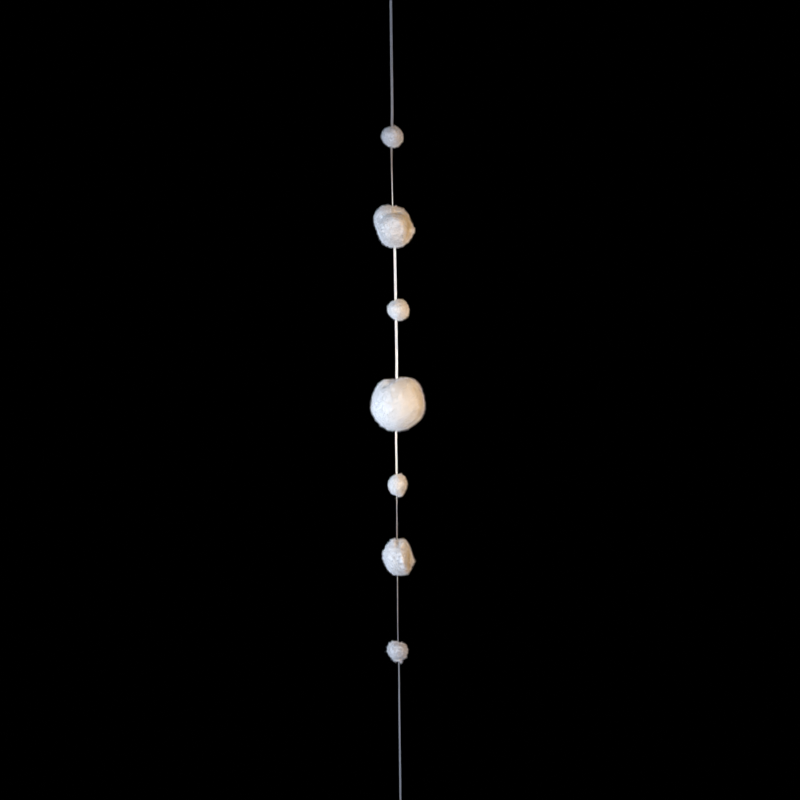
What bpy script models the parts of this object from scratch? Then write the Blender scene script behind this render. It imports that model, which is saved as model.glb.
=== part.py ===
# Snowball garland: seven white pompoms of short dense pile, threaded on one flat cotton cord.
# The cord ends above in a knotted hanging loop and below in a stopper knot with a short tail.
# Metres, +Z up. The origin is inside the top of the hanging loop, where a hook carries the garland.
# The front faces -Y, and +X is to the right as seen from the front.

import math

import bmesh
import bpy
from mathutils import Matrix, Vector, noise

MM = 0.001

# Driving dimensions
CORD_WIDTH = 2.5 * MM
CORD_THICKNESS = 1.0 * MM
CORD_POINTS = 78                    # along the whole cord, about 10 mm apart
CLEARANCE = 0.3 * MM                # between pieces that touch
SLOT_CLEARANCE = 0.35 * MM          # between the cord and a snowball's slot, which both turn
SLOT_STEP = 4.0 * MM                # between the sections of a slot
SLOT_PAST = 6.0 * MM                # how far its cutter runs past the ball's half height
HALF_ROUND = 5                      # points in each rounded edge of a flat section

EYE_HEIGHT = 24.0 * MM              # inside of the hanging loop, from its top to its knot
EYE_WIDTH = 13.0 * MM
EYE_POINTED = 1.6                   # how early the loop's legs come together, 0 for an ellipse
EYE_LEG_GAP = 0.5 * MM              # between the legs where they go into the knot
EYE_POINTS = 36

KNOT_HALF_HEIGHT = 3.6 * MM
TURN_RADIUS = 2.0 * MM              # of the turns of cord in a knot, at their middle
TURN_CORD = 1.9 * MM                # the cord is pulled nearly round in a knot
TURN_SIDES = 7
TURN_STEPS = 18
KNOT_CORE = (2.2 * MM, 3.1 * MM)    # radius and half height of what the turns close on
LOOP_STUB = 2.2 * MM                # of straight cord between the loop's knot and the string
END_STUB = 0.6 * MM
TAIL_STEPS = 6

# Depths are measured down from the origin
LOOP_KNOT_DEPTH = EYE_HEIGHT + KNOT_HALF_HEIGHT
CORD_TOP = LOOP_KNOT_DEPTH + KNOT_HALF_HEIGHT + LOOP_STUB
CORD_BOTTOM = 786.0 * MM
END_KNOT_DEPTH = CORD_BOTTOM + END_STUB + KNOT_HALF_HEIGHT

PILE_RELIEF = 0.45 * MM             # how far the pile's soft hollows and swellings reach
PILE_PATCH = 6.5 * MM               # how far apart they are
LOCK_SPREAD = 0.35                  # share by which the length of a lock varies
LOCK_LEAN = 0.6                     # sideways reach of a lock's tip, as a share of its length
LOCK_STRIDE = 1.7                   # between the places where the locks' noise is read
LOCK_SEED = 1795835239              # fixes which way each lock leans; unseeded, it would differ each run
CELL_AXIS = Vector((0.5, 0.3, 0.8)) # each ball's cells are turned about this, by its depth as an angle
SLOT_MARGIN = math.radians(20)      # no lock is nearer to the slot's ends than this
EDGE_ON = math.pi / 2               # a curve's own turn, which puts an unturned cord edge on
GOLDEN_ANGLE = math.pi * (3.0 - math.sqrt(5.0))

# The cord's route from the top down: depth and sideways place in mm, and the turn of its flat face in
# degrees from face on (0) towards edge on (90).
ROUTE_COLUMNS = ("depth", "across", "turn")
ROUTE = [
    (30, 0.0, 0),
    (90, 0.0, 0),
    (143, 0.0, 0),
    (162, -0.6, 18),
    (178, -1.0, 48),
    (205, -0.9, 68),
    (228, -0.6, 74),
    (250, 0.2, 44),
    (270, 0.8, 14),
    (311, 1.1, 4),
    (339, 1.3, 0),
    (380, 1.3, 0),
    (412, 0.6, 24),
    (438, 0.0, 42),
    (472, 0.1, 48),
    (509, -0.1, 88),
    (528, -0.2, 75),
    (574, -0.3, 82),
    (624, -0.5, 93),
    (654, 0.1, 108),
    (690, 0.0, 124),
    (790, 0.0, 138),
]

# The turns of cord in a knot: height above its middle in mm, lean from level in degrees, and the bearing
# that a turn leans towards, in degrees round from +X.
TURN_COLUMNS = ("height", "lean", "bearing")
KNOT_TURNS = [
    (1.4, 16, 25),
    (-1.4, 20, 205),
    (0.1, 48, 105),
]

# The tail of each knot: its length in mm, and the ways that it leaves and ends at, as shares of that.
TAILS = {
    "hanging_loop": (9.0, (0.7, -0.3, -0.3), (0.55, -0.25, -1.0)),
    "end_knot": (14.0, (0.14, -0.04, -0.5), (0.05, -0.1, -1.0)),
}

# Forms on a snowball, in mm and degrees. A direction is a clock angle (0 up, 90 to the right as seen from
# the front) and a front angle (0 in the plane of the view, 90 straight at the viewer, -90 at the back).
# A lump is round; a fold runs along the arc between two directions. A negative height is a hollow.
LUMP_COLUMNS = ("clock", "front", "spread", "height")
FOLD_COLUMNS = ("clock", "front", "to_clock", "to_front", "spread", "height")

SNOWBALLS = [
    {
        "name": "snowball_1", "depth": 165.4, "across": 0.0, "half": (10.2, 10.2, 10.1),
        "cells": 8, "locks": 22, "lock_length": 0.4,
        "lumps": [
            (300, 10, 34, 0.7),
            (150, -15, 30, 0.5),
            (230, 0, 26, -0.6),
            (45, 20, 28, -0.3),
            (100, 60, 30, 0.3),
            (270, -60, 34, 0.4),
        ],
        "folds": [],
    },
    {
        "name": "snowball_2", "depth": 247.5, "across": -0.1, "half": (18.4, 18.6, 18.8),
        "cells": 12, "locks": 60, "lock_length": 0.75,
        "lumps": [
            (314, 5, 27, 3.6),
            (105, 0, 14, 2.9),
            (150, 10, 30, 2.2),
            (190, 0, 22, 1.0),
            (250, 0, 24, -3.6),
            (352, 0, 20, 0.6),
            (73, 0, 14, -3.2),
            (60, 45, 26, 0.9),
            (200, 55, 30, 0.8),
            (310, -55, 30, 1.2),
            (120, -50, 28, 1.0),
            (220, -60, 24, -1.2),
        ],
        "folds": [
            (292, 26, 20, 52, 9, -1.1),
            (20, 52, 70, 28, 9, -0.9),
        ],
    },
    {
        "name": "snowball_3", "depth": 324.6, "across": 3.5, "half": (10.3, 10.3, 10.3),
        "cells": 8, "locks": 22, "lock_length": 0.4,
        "lumps": [
            (142, 0, 26, 0.7),
            (290, 10, 30, 0.5),
            (228, 0, 24, -0.9),
            (60, 15, 28, -0.3),
            (10, -50, 30, 0.4),
            (180, 60, 30, -0.3),
        ],
        "folds": [],
    },
    {
        "name": "snowball_4", "depth": 410.9, "across": 2.1, "half": (24.9, 24.8, 25.2),
        "cells": 15, "locks": 90, "lock_length": 1.0,
        "lumps": [
            (350, 0, 16, -3.2),
            (40, 5, 19, 2.1),
            (76, 0, 14, -0.9),
            (118, 0, 15, 0.3),
            (206, 0, 22, 1.0),
            (254, 0, 12, 1.3),
            (318, 0, 14, 0.9),
            (293, 0, 14, -0.4),
            (142, 0, 14, -0.9),
            (90, 55, 30, 0.8),
            (250, 50, 26, 0.6),
            (180, 60, 24, -0.6),
            (300, -45, 26, 1.2),
            (60, -50, 28, 1.0),
            (200, -55, 24, 0.9),
            (100, -65, 20, -1.0),
        ],
        "folds": [
            (320, 28, 358, 12, 8, -0.9),
        ],
    },
    {
        "name": "snowball_5", "depth": 485.6, "across": 0.9, "half": (9.0, 9.3, 10.7),
        "cells": 8, "locks": 22, "lock_length": 0.4,
        "lumps": [
            (160, 0, 16, 1.6),
            (18, 0, 16, 0.6),
            (45, 0, 20, 0.4),
            (222, 0, 22, 0.3),
            (262, 0, 16, 0.4),
            (322, 0, 22, -0.8),
            (120, 50, 28, -0.3),
            (60, -50, 30, 0.4),
        ],
        "folds": [],
    },
    {
        "name": "snowball_6", "depth": 552.3, "across": 0.9, "half": (14.7, 15.4, 17.0),
        "cells": 10, "locks": 50, "lock_length": 0.75,
        "lumps": [
            (14, 0, 13, 1.3),
            (345, 0, 11, 2.0),
            (359, 10, 9, -1.6),
            (64, 0, 17, -4.2),
            (112, 0, 15, 1.0),
            (148, 0, 16, 1.5),
            (308, 0, 18, 0.3),
            (236, 0, 16, -1.8),
            (198, 10, 16, 0.5),
            (300, -55, 26, 1.0),
            (130, -50, 26, 0.9),
            (40, -60, 24, -0.8),
        ],
        "folds": [
            (12, 18, 90, 66, 12, 0.9),
            (90, 66, 160, 22, 12, 1.0),
            (78, 30, 96, 34, 14, -0.9),
        ],
    },
    {
        "name": "snowball_7", "depth": 638.8, "across": -1.2, "half": (9.6, 9.6, 9.7),
        "cells": 8, "locks": 22, "lock_length": 0.4,
        "lumps": [
            (312, 0, 24, 1.7),
            (161, 0, 10, 3.2),
            (186, 0, 16, 0.8),
            (128, 0, 13, 0.8),
            (230, 0, 22, -1.2),
            (12, 0, 12, -0.9),
            (55, 0, 26, 0.7),
            (270, -55, 28, 0.6),
            (90, -50, 28, 0.3),
        ],
        "folds": [
            (120, 20, 168, 28, 9, -1.0),
        ],
    },
]

# Colours, roughness and metallic value of each material
MATERIALS = {
    "snow_pile": ((0.86, 0.84, 0.80), 0.95, 0.0),
    "cotton_cord": ((0.88, 0.86, 0.82), 0.85, 0.0),
}


def clear_scene():
    for thing in list(bpy.data.objects):
        bpy.data.objects.remove(thing, do_unlink=True)


def material(node_name, finish):
    """A Principled material of the node's own, with the finish's colour."""
    colour, roughness, metallic = MATERIALS[finish]
    made = bpy.data.materials.new(f"{node_name}_{finish}")
    made.use_nodes = True
    shader = made.node_tree.nodes["Principled BSDF"]
    shader.inputs["Base Color"].default_value = (*colour, 1.0)
    shader.inputs["Roughness"].default_value = roughness
    shader.inputs["Metallic"].default_value = metallic
    return made


def add_object(name, data, location=(0.0, 0.0, 0.0), finish=None):
    made = bpy.data.objects.new(name, data)
    made.location = location
    bpy.context.collection.objects.link(made)
    if finish:
        data.materials.append(material(name, finish))
    return made


def add_helper(name, mesh):
    """A cutter or an operand, which isn't a piece of the garland."""
    made = add_object(name, mesh)
    made.hide_render = True
    made.display_type = "WIRE"
    return made


def add_boolean(target, operand, operation):
    modifier = target.modifiers.new(f"{operation.lower()} {operand.name}", "BOOLEAN")
    modifier.operation = operation
    modifier.object = operand
    modifier.solver = "EXACT"


def route_at(depth):
    """Sideways place in metres and turn in radians of the cord at a depth in metres."""
    rows = [dict(zip(ROUTE_COLUMNS, row)) for row in ROUTE]
    wanted = min(max(depth / MM, rows[0]["depth"]), rows[-1]["depth"])
    after = next(i for i in range(1, len(rows)) if rows[i]["depth"] >= wanted)
    low, high = rows[after - 1], rows[after]
    before = rows[max(after - 2, 0)]
    beyond = rows[min(after + 1, len(rows) - 1)]
    span = high["depth"] - low["depth"]
    t = (wanted - low["depth"]) / span
    found = []
    for key in ("across", "turn"):
        slope_low = (high[key] - before[key]) / (high["depth"] - before["depth"])
        slope_high = (beyond[key] - low[key]) / (beyond["depth"] - low["depth"])
        found.append(
            (2 * t**3 - 3 * t**2 + 1) * low[key]
            + (t**3 - 2 * t**2 + t) * span * slope_low
            + (3 * t**2 - 2 * t**3) * high[key]
            + (t**3 - t**2) * span * slope_high
        )
    return found[0] * MM, math.radians(found[1])


def flat_section(width, thickness):
    """Outline of a flat cord with rounded edges, as pairs along its width and its thickness."""
    radius = thickness / 2
    straight = width / 2 - radius
    points = []
    for side in (1, -1):
        for i in range(HALF_ROUND):
            angle = math.pi * (i / (HALF_ROUND - 1) - 0.5)
            points.append((side * (straight + radius * math.cos(angle)), side * radius * math.sin(angle)))
    return points


def round_section(diameter, sides):
    radius = diameter / 2
    angles = [2 * math.pi * i / sides for i in range(sides)]
    return [(radius * math.cos(angle), radius * math.sin(angle)) for angle in angles]


def placed(section, centre, along_width, along_thickness):
    return [centre + along_width * u + along_thickness * v for u, v in section]


def loft(name, rings, closed=False):
    """A closed mesh through rings of equally many points, capped at its ends unless it is closed."""
    bm = bmesh.new()
    rows = [[bm.verts.new(point) for point in ring] for ring in rings]
    pairs = list(zip(rows, rows[1:]))
    if closed:
        pairs.append((rows[-1], rows[0]))
    for near, far in pairs:
        for i in range(len(near)):
            j = (i + 1) % len(near)
            bm.faces.new((near[i], near[j], far[j], far[i]))
    if not closed:
        bm.faces.new(rows[0])
        bm.faces.new(rows[-1])
    bmesh.ops.recalc_face_normals(bm, faces=bm.faces[:])
    mesh = bpy.data.meshes.new(name)
    bm.to_mesh(mesh)
    bm.free()
    return mesh


def sweep(name, points, section, side, closed=False):
    """A loft of one section along points, with its width kept near the given side direction."""
    rings = []
    last = len(points) - 1
    for i, point in enumerate(points):
        if closed:
            tangent = points[(i + 1) % len(points)] - points[i - 1]
        else:
            tangent = points[min(i + 1, last)] - points[max(i - 1, 0)]
        tangent.normalize()
        width_way = (side - tangent * side.dot(tangent)).normalized()
        rings.append(placed(section, point, width_way, tangent.cross(width_way)))
    return loft(name, rings, closed)


def direction(clock, front):
    clock, front = math.radians(clock), math.radians(front)
    return Vector((
        math.sin(clock) * math.cos(front),
        -math.sin(front),
        math.cos(clock) * math.cos(front),
    ))


def off_arc(point, start, end):
    """Degrees between a direction and the nearest place on the arc between two others."""
    axis = start.cross(end).normalized()
    across = axis.cross(start)
    reach = start.angle(end)
    along = math.atan2(point.dot(across), point.dot(start))
    if not 0.0 <= along <= reach:
        return math.degrees(min(point.angle(start), point.angle(end)))
    return math.degrees(abs(math.asin(max(-1.0, min(1.0, point.dot(axis))))))


def snowball_radius(ball, way):
    """Distance in metres from a snowball's middle to its pile's ends, in a unit direction."""
    half = ball["half"]
    radius = 1.0 / math.sqrt(sum((way[i] / half[i]) ** 2 for i in range(3)))
    for row in ball["lumps"]:
        lump = dict(zip(LUMP_COLUMNS, row))
        away = math.degrees(way.angle(direction(lump["clock"], lump["front"])))
        radius += lump["height"] * math.exp(-((away / lump["spread"]) ** 2))
    for row in ball["folds"]:
        fold = dict(zip(FOLD_COLUMNS, row))
        start = direction(fold["clock"], fold["front"])
        end = direction(fold["to_clock"], fold["to_front"])
        away = off_arc(way, start, end)
        radius += fold["height"] * math.exp(-((away / fold["spread"]) ** 2))
    radius *= MM
    own_place = Vector((ball["depth"], 0.0, 0.0))
    return radius + PILE_RELIEF * noise.noise(way * (radius / PILE_PATCH) + own_place)


def ball_of_cells(cells):
    """A unit ball of six square grids, whose cells are all about one size."""
    bm = bmesh.new()
    bmesh.ops.create_cube(bm, size=2.0)
    bmesh.ops.subdivide_edges(bm, edges=bm.edges[:], cuts=cells - 1, use_grid_fill=True)
    for vertex in bm.verts:
        vertex.co = Vector([math.tan(c * math.pi / 4) for c in vertex.co]).normalized()
    return bm


def raise_locks(bm, ball, slot_ways):
    """Draws scattered corners out into four-sided locks, whose roots stay fused in the ball."""
    ways = {vertex: vertex.co.normalized() for vertex in bm.verts}
    taken = set()
    chosen = []
    for k in range(ball["locks"]):
        height = 1.0 - 2.0 * (k + 0.5) / ball["locks"]
        level = math.sqrt(1.0 - height * height)
        angle = GOLDEN_ANGLE * k
        way = Vector((level * math.cos(angle), level * math.sin(angle), height))
        tip = max(ways, key=lambda vertex: ways[vertex].dot(way))
        beside_slot = max(way.dot(slot) for slot in slot_ways) > math.cos(SLOT_MARGIN)
        if not beside_slot and tip not in taken:
            roots = [edge.other_vert(tip) for edge in tip.link_edges]
            taken.update([tip, *roots])
            chosen.append(tip)
    for k, tip in enumerate(chosen):
        place = Vector((k * LOCK_STRIDE, ball["depth"], 0.0))
        length = ball["lock_length"] * MM * (1.0 + LOCK_SPREAD * noise.noise(place))
        lean = noise.noise_vector(place) * LOCK_LEAN * length
        outwards = ways[tip]
        tip.co += outwards * length + (lean - outwards * lean.dot(outwards))


def add_slot(ball, snowball, centre):
    """Cuts the slot that the cord runs through, which turns as the cord does."""
    half_height = ball["half"][2] * MM + SLOT_PAST
    steps = math.ceil(2 * half_height / SLOT_STEP)
    section = flat_section(CORD_WIDTH + 2 * SLOT_CLEARANCE, CORD_THICKNESS + 2 * SLOT_CLEARANCE)
    rings = []
    for i in range(steps + 1):
        depth = -centre.z - half_height + 2 * half_height * i / steps
        across, turn = route_at(depth)
        width_way = Vector((math.cos(turn), math.sin(turn), 0.0))
        thickness_way = Vector((-math.sin(turn), math.cos(turn), 0.0))
        rings.append(placed(section, Vector((across, 0.0, -depth)), width_way, thickness_way))
    cutter = add_helper(f"{ball['name']}_slot", loft(f"{ball['name']}_slot", rings))
    add_boolean(snowball, cutter, "DIFFERENCE")


def add_snowball(ball):
    centre = Vector((ball["across"], 0.0, -ball["depth"])) * MM
    bm = ball_of_cells(ball["cells"])
    bmesh.ops.rotate(bm, verts=bm.verts[:], matrix=Matrix.Rotation(ball["depth"], 3, CELL_AXIS))
    for vertex in bm.verts:
        vertex.co *= snowball_radius(ball, vertex.co.normalized())
    slot_ways = []
    for end in (1, -1):
        across = route_at(-centre.z - end * ball["half"][2] * MM)[0]
        slot_ways.append(Vector((across - centre.x, 0.0, end * ball["half"][2] * MM)).normalized())
    raise_locks(bm, ball, slot_ways)
    mesh = bpy.data.meshes.new(ball["name"])
    bm.to_mesh(mesh)
    bm.free()
    mesh.shade_smooth()
    snowball = add_object(ball["name"], mesh, centre, "snow_pile")
    add_slot(ball, snowball, centre)


def add_string():
    """The cord between its two knots: a flat tube on a curve, turned point by point."""
    curve = bpy.data.curves.new("string", "CURVE")
    curve.dimensions = "3D"
    curve.twist_mode = "MINIMUM"
    curve.bevel_depth = CORD_THICKNESS / 2
    curve.bevel_resolution = 2
    curve.extrude = (CORD_WIDTH - CORD_THICKNESS) / 2
    curve.use_fill_caps = True
    spline = curve.splines.new("POLY")
    spline.points.add(CORD_POINTS - 1)
    for i, point in enumerate(spline.points):
        depth = CORD_TOP + (CORD_BOTTOM - CORD_TOP) * i / (CORD_POINTS - 1)
        across, turn = route_at(depth)
        point.co = (across, 0.0, -depth, 1.0)
        point.tilt = EDGE_ON - turn
    add_object("string", curve, finish="cotton_cord")


def knot_meshes(name, middle):
    """The core and the turns of cord of one pulled knot, round a point."""
    radius, half_height = KNOT_CORE
    bm = bmesh.new()
    bmesh.ops.create_uvsphere(bm, u_segments=TURN_STEPS, v_segments=TURN_SIDES, radius=1.0)
    bmesh.ops.scale(bm, vec=(radius, radius, half_height), verts=bm.verts[:])
    bmesh.ops.translate(bm, vec=middle, verts=bm.verts[:])
    core = bpy.data.meshes.new(f"{name}_core")
    bm.to_mesh(core)
    bm.free()
    meshes = [core]
    for row in KNOT_TURNS:
        turn = dict(zip(TURN_COLUMNS, row))
        bearing = math.radians(turn["bearing"])
        level_axis = Vector((-math.sin(bearing), math.cos(bearing), 0.0))
        leaned = Matrix.Rotation(math.radians(turn["lean"]), 3, level_axis)
        centre = middle + Vector((0.0, 0.0, turn["height"] * MM))
        points = []
        for i in range(TURN_STEPS):
            angle = 2 * math.pi * i / TURN_STEPS
            flat = Vector((math.cos(angle), math.sin(angle), 0.0)) * TURN_RADIUS
            points.append(centre + leaned @ flat)
        section = round_section(TURN_CORD, TURN_SIDES)
        up = leaned @ Vector((0.0, 0.0, 1.0))
        meshes.append(sweep(f"{name}_turn", points, section, up, closed=True))
    return meshes


def unite(name, meshes):
    """One cotton piece made of meshes that run into each other."""
    piece = add_object(name, meshes[0], finish="cotton_cord")
    for mesh in meshes[1:]:
        mesh.materials.append(piece.data.materials[0])
        add_boolean(piece, add_helper(mesh.name, mesh), "UNION")
    for mesh in meshes:
        mesh.shade_smooth()


def eye_points():
    """The hanging loop's cord, up one leg and down the other, along the middle of its thickness."""
    height = LOOP_KNOT_DEPTH + CORD_THICKNESS / 2
    widest = math.atan(math.sqrt(EYE_POINTED + 1.0))
    scale = (EYE_WIDTH + CORD_THICKNESS) / 2 / (math.cos(widest) * math.sin(widest) ** (EYE_POINTED + 1.0))
    points = []
    for i in range(EYE_POINTS):
        half_angle = math.pi * i / (EYE_POINTS - 1)
        across = scale * math.cos(half_angle) * math.sin(half_angle) ** (EYE_POINTED + 1.0)
        away = (CORD_THICKNESS + EYE_LEG_GAP) / 2
        if abs(across) < away and i != (EYE_POINTS - 1) / 2:
            across = math.copysign(away, across if across else math.cos(half_angle))
        points.append(Vector((across, 0.0, CORD_THICKNESS / 2 - height * math.cos(half_angle) ** 2)))
    return points


def tail_mesh(name, middle, width_way):
    """The cord's loose end, in one soft bend out of a knot."""
    length, leaving, ending = TAILS[name]
    handle, end = [middle + Vector(way) * length * MM for way in (leaving, ending)]
    points = []
    for i in range(TAIL_STEPS + 1):
        t = i / TAIL_STEPS
        points.append(middle * (1 - t) ** 2 + handle * 2 * t * (1 - t) + end * t**2)
    return sweep(f"{name}_tail", points, flat_section(CORD_WIDTH, CORD_THICKNESS), width_way)


def stub_mesh(name, middle, end):
    """The straight cord between a knot and the string, which it meets face to face."""
    turn = route_at(-end.z)[1]
    width_way = Vector((math.cos(turn), math.sin(turn), 0.0))
    return sweep(f"{name}_stub", [middle, end], flat_section(CORD_WIDTH, CORD_THICKNESS), width_way)


def add_hanging_loop():
    middle = Vector((0.0, 0.0, -LOOP_KNOT_DEPTH))
    across_hook = Vector((0.0, 1.0, 0.0))
    meshes = knot_meshes("hanging_loop", middle)
    eye = sweep("hanging_loop_eye", eye_points(), flat_section(CORD_WIDTH, CORD_THICKNESS), across_hook)
    meshes.append(eye)
    meshes.append(stub_mesh("hanging_loop", middle, Vector((0.0, 0.0, CLEARANCE - CORD_TOP))))
    meshes.append(tail_mesh("hanging_loop", middle, across_hook))
    unite("hanging_loop", meshes)


def add_end_knot():
    middle = Vector((0.0, 0.0, -END_KNOT_DEPTH))
    meshes = knot_meshes("end_knot", middle)
    meshes.append(stub_mesh("end_knot", middle, Vector((0.0, 0.0, -CORD_BOTTOM - CLEARANCE))))
    meshes.append(tail_mesh("end_knot", middle, Vector((1.0, 0.5, 0.0))))
    unite("end_knot", meshes)


clear_scene()
noise.seed_set(LOCK_SEED)
add_hanging_loop()
add_string()
for row in SNOWBALLS:
    add_snowball(row)
add_end_knot()
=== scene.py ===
import math

import bmesh
import bpy
import numpy as np
from mathutils import Matrix, Vector, noise


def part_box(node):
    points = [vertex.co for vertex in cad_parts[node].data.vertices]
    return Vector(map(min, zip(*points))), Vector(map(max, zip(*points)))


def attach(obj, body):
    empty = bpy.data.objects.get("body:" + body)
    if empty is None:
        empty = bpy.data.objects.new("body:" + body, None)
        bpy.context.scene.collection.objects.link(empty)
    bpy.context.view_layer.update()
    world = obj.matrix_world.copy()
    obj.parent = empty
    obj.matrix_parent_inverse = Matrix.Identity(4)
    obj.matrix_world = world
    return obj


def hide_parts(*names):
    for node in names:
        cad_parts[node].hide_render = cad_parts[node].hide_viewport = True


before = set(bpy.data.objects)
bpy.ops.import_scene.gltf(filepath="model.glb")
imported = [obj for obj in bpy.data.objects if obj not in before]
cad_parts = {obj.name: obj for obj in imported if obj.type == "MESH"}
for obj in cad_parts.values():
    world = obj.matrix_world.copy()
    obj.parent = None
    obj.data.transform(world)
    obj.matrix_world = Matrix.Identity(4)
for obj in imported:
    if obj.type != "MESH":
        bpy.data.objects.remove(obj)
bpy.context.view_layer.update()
mm = 0.001
fullTurn = 2 * math.pi
print("frame loaded:", ", ".join(sorted(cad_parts)))


# Camera, at the photograph's viewing angle
photo = {
    "side": 800,               # px, width and height of the picture
    "mmPerPixel": 0.92,        # at the cord
    "across": 4.0,             # mm from the cord's axis to the middle of the picture
    "depth": 407.5,            # mm from the origin down to the middle of the picture
    "roll": 0.69,              # degrees clockwise, so the cord leans a little
    "distance": 2.0,           # m
    "nearest": 0.05,           # m, what the camera begins to see at
}


def addCamera():
    data = bpy.data.cameras.new("camera")
    seen = photo["side"] * photo["mmPerPixel"] * mm
    data.lens = data.sensor_width * photo["distance"] / seen
    data.clip_start = photo["nearest"]
    camera = bpy.data.objects.new("camera", data)
    camera.location = (photo["across"] * mm, -photo["distance"], -photo["depth"] * mm)
    camera.rotation_euler = (math.pi / 2, math.radians(photo["roll"]), 0.0)
    bpy.context.collection.objects.link(camera)
    bpy.context.scene.camera = camera


addCamera()
print("camera placed")


# Small helpers
def linear(colour):
    # an sRGB hex value as the linear numbers that a shader takes
    parts = [int(colour[i:i + 2], 16) / 255 for i in (0, 2, 4)]
    return [p / 12.92 if p <= 0.04045 else ((p + 0.055) / 1.055) ** 2.4 for p in parts]


def socketOf(sockets, key):
    # by its place, or by its name among those in use
    if isinstance(key, int):
        return sockets[key]
    return next(s for s in sockets if s.name == key and s.enabled)


def addNode(tree, kind, settings=None, links=None):
    node = tree.nodes.new(kind)
    for key, value in (settings or {}).items():
        if isinstance(key, str) and hasattr(node, key):
            setattr(node, key, value)
        else:
            socketOf(node.inputs, key).default_value = value
    for key, source in (links or {}).items():
        tree.links.new(source, socketOf(node.inputs, key))
    return node


def addObject(name, mesh, material=None):
    made = bpy.data.objects.new(name, mesh)
    bpy.context.collection.objects.link(made)
    if material:
        mesh.materials.append(material)
    return made


def finishPiece(piece, node):
    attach(piece, "root")
    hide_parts(node)


def smoothStep(low, high, value):
    share = np.clip((value - low) / (high - low), 0.0, 1.0)
    return share * share * (3 - 2 * share)


def normalized(rows):
    return rows / np.linalg.norm(rows, axis=1, keepdims=True)


def distancesAlong(points):
    # metres from the first point to each one
    steps = np.linalg.norm(np.diff(points, axis=0), axis=1)
    return np.concatenate([[0.0], np.cumsum(steps)])


def tangentsOf(points, closed):
    # unit vectors along a line of points; a closed one goes on from its last point to its first
    if closed:
        return normalized(np.roll(points, -1, 0) - np.roll(points, 1, 0))
    return normalized(np.gradient(points, axis=0))


# The cord's route, as in the part's source: depth and sideways place in mm, and the turn of its flat face
# in degrees from face on (0) towards edge on (90)
route = [
    (30, 0.0, 0), (90, 0.0, 0), (143, 0.0, 0), (162, -0.6, 18), (178, -1.0, 48), (205, -0.9, 68),
    (228, -0.6, 74), (250, 0.2, 44), (270, 0.8, 14), (311, 1.1, 4), (339, 1.3, 0), (380, 1.3, 0),
    (412, 0.6, 24), (438, 0.0, 42), (472, 0.1, 48), (509, -0.1, 88), (528, -0.2, 75), (574, -0.3, 82),
    (624, -0.5, 93), (654, 0.1, 108), (690, 0.0, 124), (790, 0.0, 138),
]


def routeAt(depths):
    # sideways place in metres and turn in radians at depths in metres, on a smooth curve through the route
    rows = np.array(route, float)
    stations = rows[:, 0]
    wanted = np.clip(np.atleast_1d(depths) / mm, stations[0], stations[-1])
    after = np.clip(np.searchsorted(stations, wanted), 1, len(rows) - 1)
    low, high = rows[after - 1], rows[after]
    before, beyond = rows[np.maximum(after - 2, 0)], rows[np.minimum(after + 1, len(rows) - 1)]
    span = high[:, 0] - low[:, 0]
    t = (wanted - low[:, 0]) / span
    found = []
    for column in (1, 2):
        slopeLow = (high[:, column] - before[:, column]) / (high[:, 0] - before[:, 0])
        slopeHigh = (beyond[:, column] - low[:, column]) / (beyond[:, 0] - low[:, 0])
        found.append(
            (2 * t**3 - 3 * t**2 + 1) * low[:, column]
            + (t**3 - 2 * t**2 + t) * span * slopeLow
            + (3 * t**2 - 2 * t**3) * high[:, column]
            + (t**3 - t**2) * span * slopeHigh
        )
    return found[0] * mm, np.radians(found[1])


# Flat plait of cotton strands, which the string, its hanging loop and its end knot are all made of
plait = {
    "strands": 5,
    "width": 2.4,              # mm over the whole plait
    "thickness": 0.86,
    "strandWidth": 0.64,
    "strandThickness": 0.4,
    "pitch": 8.0,              # mm along the cord for a strand to cross it and come back
    "ringsPerPitch": 24,
    "corners": 6,              # round a strand
}


def newShape():
    return {"points": [], "faces": [], "uvs": [], "count": 0}


def addTube(shape, centres, ups, halfWidths, halfHeights, corners, closed=False):
    # an oval tube along centres, with its ends closed; ups lean its short way
    tangents = tangentsOf(centres, closed)
    sides = normalized(np.cross(ups, tangents))
    heights = np.cross(tangents, sides)
    angles = fullTurn * np.arange(corners) / corners
    wide = np.cos(angles)[None, :, None] * np.broadcast_to(halfWidths, len(centres))[:, None, None]
    tall = np.sin(angles)[None, :, None] * np.broadcast_to(halfHeights, len(centres))[:, None, None]
    rings = centres[:, None, :] + sides[:, None, :] * wide + heights[:, None, :] * tall
    along = distancesAlong(centres) / mm
    first = shape["count"]
    count = len(centres)
    for i in range(count if closed else count - 1):
        near, far = first + i * corners, first + (i + 1) % count * corners
        v, vNext = along[i], along[i + 1] if i + 1 < count else along[i] + along[1]
        for j in range(corners):
            k = (j + 1) % corners
            shape["faces"].append((near + j, near + k, far + k, far + j))
            u, uNext = j / corners, (j + 1) / corners
            shape["uvs"].extend([(u, v), (uNext, v), (uNext, vNext), (u, vNext)])
    if not closed:
        last = first + (count - 1) * corners
        shape["faces"].append(tuple(reversed(range(first, first + corners))))
        shape["faces"].append(tuple(range(last, last + corners)))
        shape["uvs"].extend([(0.5, along[0])] * corners + [(0.5, along[-1])] * corners)
    shape["points"].append(rings.reshape(-1, 3))
    shape["count"] += count * corners


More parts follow.
